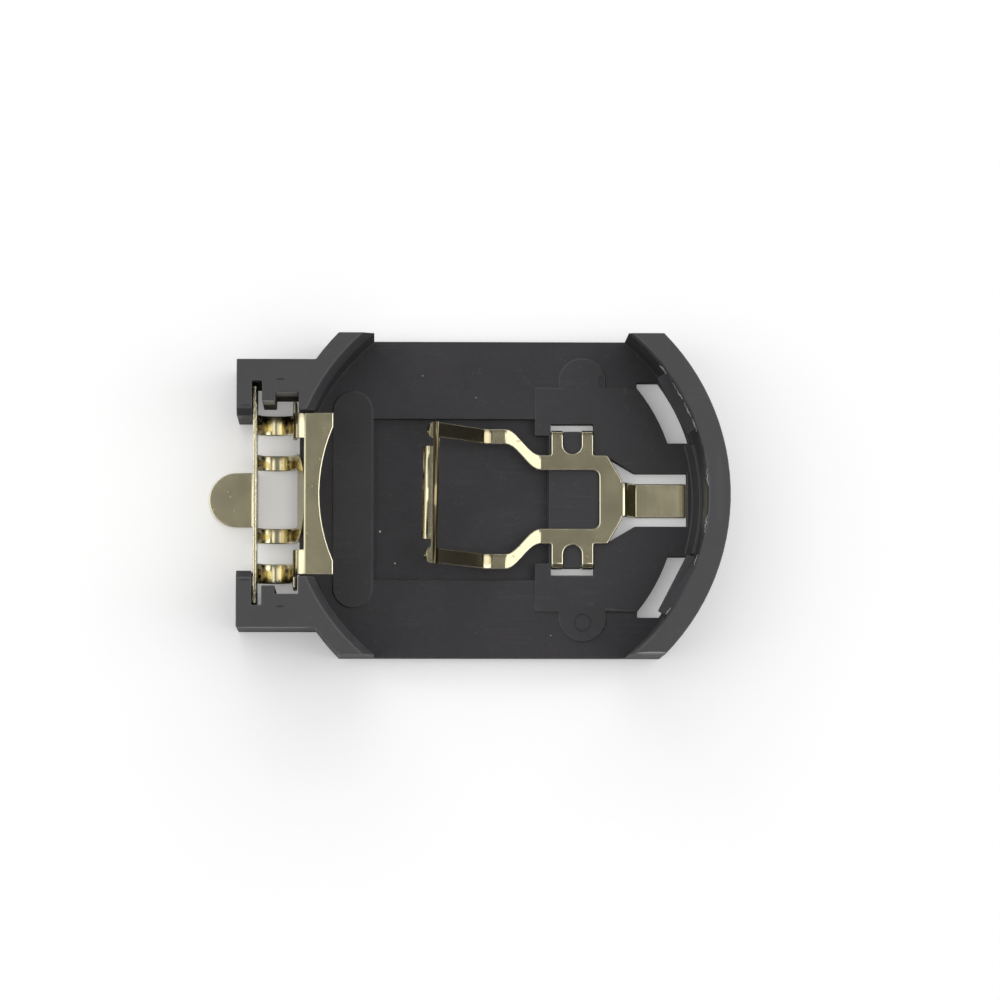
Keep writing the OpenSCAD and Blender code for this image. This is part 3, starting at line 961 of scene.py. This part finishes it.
@dataclass
class Dust:
    """A few pale crumbs in the tray: the middle of each, and its radius."""

    spots: tuple[tuple[float, float, float, float], ...] = (
        (-6.07, -1.6, 0.47, 0.055), (-5.3, -3.22, 0.47, 0.05), (-3.9, 6.3, 0.92, 0.03),
        (2.6, -6.9, 0.92, 0.03), (-1.2, 5.2, 0.92, 0.025))

    def build(self, effects: Effects) -> None:
        """Builds the crumbs.

        A crumb's line runs along Y as y + r * sin(latitude), and its half width is r * cos(latitude), rippled
        by a wander along the line.
        """
        rings, sides, reach = 9, 12, 1.35
        lat = np.linspace(-reach, reach, rings)
        parts = []
        for number, (x, y, z, r) in enumerate(self.spots):
            ripple = 1 + 0.25 * (wander(70 + number, rings, 4) - 0.5)
            centres = np.stack([np.full(rings, x), y + r * np.sin(lat), np.full(rings, z)], 1)
            across, up = np.tile([1.0, 0.0, 0.0], (rings, 1)), np.tile([0.0, 0.0, 1.0], (rings, 1))
            half = r * np.cos(lat) * ripple
            parts.append(tube(centres, across, up, half, 0.6 * half, sides))
        crumb = PlasticFinish("dust", dark=grey(0.35, 0.05), light=grey(0.6, 0.05), scuff_and_light_tone=grey(0.7),
                              roughness=0.8, top_painted_light=0.0)
        piece_from("dust_crumbs", joined(parts), crumb.material(effects))


# -------------------------------------------------------------------------------- studio


@dataclass(frozen=True)
class SoftBox:
    """A large plain lamp that faces the holder.

    Its level is the brightness of its face. Glossy surfaces show it only if it shines. Angles are in degrees,
    and lengths are in metres.
    """

    name: str
    azimuth: float
    from_top: float
    width: float
    height: float
    level: float
    shines: bool = True
    distance: float = 0.6

    def build(self) -> None:
        """Places the lamp; its power is level * pi * its area."""
        lamp = bpy.data.lights.new(self.name, "AREA")
        lamp.shape = "RECTANGLE"
        lamp.size, lamp.size_y = self.width, self.height
        lamp.energy = self.level * math.pi * self.width * self.height
        made = bpy.data.objects.new(self.name, lamp)
        a, t = math.radians(self.azimuth), math.radians(self.from_top)
        away = Vector((math.cos(a) * math.sin(t), math.sin(a) * math.sin(t), math.cos(t)))
        made.location = away * self.distance
        made.rotation_mode = "QUATERNION"
        made.rotation_quaternion = away.to_track_quat("Z", "Y")
        made.visible_camera = False
        made.visible_glossy = self.shines
        bpy.context.scene.collection.objects.link(made)
        LOG.info("lamp %s", self.name)


@dataclass
class Studio:
    """White sweep, pale tent with a dim opening overhead, soft lamps and the camera.

    The camera's two places are in mm, and the sweep's half width is in metres.
    """

    top_level: float = 0.14
    tent_level: float = 0.7
    belt_level: float = 0.3
    belt_deg: tuple[float, float] = (56.0, 66.0)
    horizon: tuple[float, float] = (0.04, 0.12)
    opening: tuple[float, float] = (0.27, 0.44)
    soft_level: float = 0.51
    back_bias: float = 0.5
    floor_colour: Colour = grey(0.9)
    floor_lift: float = 0.23
    floor_half: float = 3.0
    floor_z: float = -0.02 * MM
    camera_at: Point = (-6.4, -19.6, 250.0)
    camera_aim: Point = (0.046, 0.056, 0.0)
    lens: float = 177.3
    sensor: float = 36.0
    clip: tuple[float, float] = (0.01, 20.0)
    lamps: tuple[SoftBox, ...] = (
        SoftBox("lamp_block_side", 180.0, 37.0, 0.34, 0.70, 0.85),
        SoftBox("lamp_lip_side", 0.0, 37.0, 0.34, 0.70, 1.3),
        SoftBox("lamp_back", 90.0, 66.0, 0.80, 0.36, 1.1, shines=False),
    )

    def tent(self) -> None:
        """Lights the world.

        Dull surfaces get an even level. Glossy ones see a dim strip overhead, a dimmer belt lower down and a
        white horizon. Both grow brighter towards +Y.
        """
        world = bpy.data.worlds.new("tent")
        bpy.context.scene.world = world
        world.use_nodes = True
        w = Wiring(world.node_tree)
        toward = w.axes(w.node("ShaderNodeTexCoord").outputs["Generated"])
        sideways = w.math("ABSOLUTE", toward["X"])
        seen = w.span(sideways, *self.opening, self.top_level, self.tent_level)
        high, low = (math.cos(math.radians(d)) for d in self.belt_deg)
        belt = w.span(toward["Z"], low, high, self.belt_level / self.tent_level, 1.0)
        seen = w.math("MAXIMUM", w.math("MULTIPLY", seen, belt), w.span(toward["Z"], *self.horizon, 1.0, 0.0))
        glossy = w.node("ShaderNodeLightPath").outputs["Is Glossy Ray"]
        change = w.math("MULTIPLY", w.math("SUBTRACT", seen, self.soft_level), glossy)
        level = w.math("ADD", change, self.soft_level)
        bias = w.math("ADD", w.math("MULTIPLY", toward["Y"], self.back_bias), 1.0)
        background = world.node_tree.nodes["Background"].inputs
        w.feed(background["Strength"], w.math("MULTIPLY", level, bias))
        background["Color"].default_value = grey(1.0)

    def paper(self) -> bpy.types.Material:
        """Matt white, whose shade is lifted a little for the camera alone.

        Returns:
            The material.
        """
        material = bpy.data.materials.new("white_paper")
        material.use_nodes = True
        w = Wiring(material.node_tree)
        material.node_tree.nodes.remove(material.node_tree.nodes["Principled BSDF"])
        dull = w.node("ShaderNodeBsdfDiffuse")
        dull.inputs["Color"].default_value = self.floor_colour
        glow = w.node("ShaderNodeEmission")
        glow.inputs["Color"].default_value = grey(1.0)
        seen = w.node("ShaderNodeLightPath").outputs["Is Camera Ray"]
        w.feed(glow.inputs["Strength"], w.math("MULTIPLY", seen, self.floor_lift))
        both = w.node("ShaderNodeAddShader")
        w.feed(both.inputs[0], dull.outputs[0])
        w.feed(both.inputs[1], glow.outputs[0])
        w.feed(material.node_tree.nodes["Material Output"].inputs["Surface"], both.outputs[0])
        return material

    def sweep(self) -> None:
        """The white floor: a flat grid of two parameters."""
        count = 9
        line = np.linspace(-self.floor_half, self.floor_half, count)
        x, y = np.meshgrid(line, line, indexing="ij")
        points = np.stack([x, y, np.full_like(x, self.floor_z)], -1).reshape(-1, 3)
        k = np.arange(count - 1)
        corner = (k[:, None] * count + k[None, :]).ravel()
        quads = np.stack([corner, corner + count, corner + count + 1, corner + 1], 1)
        mesh = bpy.data.meshes.new("sweep")
        mesh.from_pydata(points.tolist(), [], quads.tolist())
        floor = bpy.data.objects.new("sweep", mesh)
        bpy.context.scene.collection.objects.link(floor)
        mesh.materials.append(self.paper())

    def camera(self) -> None:
        """Places the camera almost straight above, as the view needs."""
        data = bpy.data.cameras.new("camera")
        data.lens = self.lens
        data.sensor_width = self.sensor
        data.clip_start, data.clip_end = self.clip
        made = bpy.data.objects.new("camera", data)
        at, aim = Vector(self.camera_at) * MM, Vector(self.camera_aim) * MM
        back = (at - aim).normalized()
        right = Vector((0.0, 1.0, 0.0)).cross(back).normalized()
        turned = Matrix((right, back.cross(right), back)).transposed()
        made.matrix_world = Matrix.LocRotScale(at, turned, None)
        bpy.context.scene.collection.objects.link(made)
        bpy.context.scene.camera = made

    def build(self) -> None:
        """Builds the whole studio."""
        bpy.context.scene.view_settings.view_transform = "Standard"
        self.tent()
        self.sweep()
        for lamp in self.lamps:
            lamp.build()
        self.camera()


def main() -> None:
    """Builds the holder, then the studio round it."""
    logging.basicConfig(level=logging.INFO, format="%(message)s")
    effects = Effects()
    for part in (Housing(), PositiveContact(), NegativeContact(), Dust()):
        part.build(effects)
        LOG.info("%s is built", type(part).__name__)
    Studio().build()


if __name__ == "__main__":
    main()
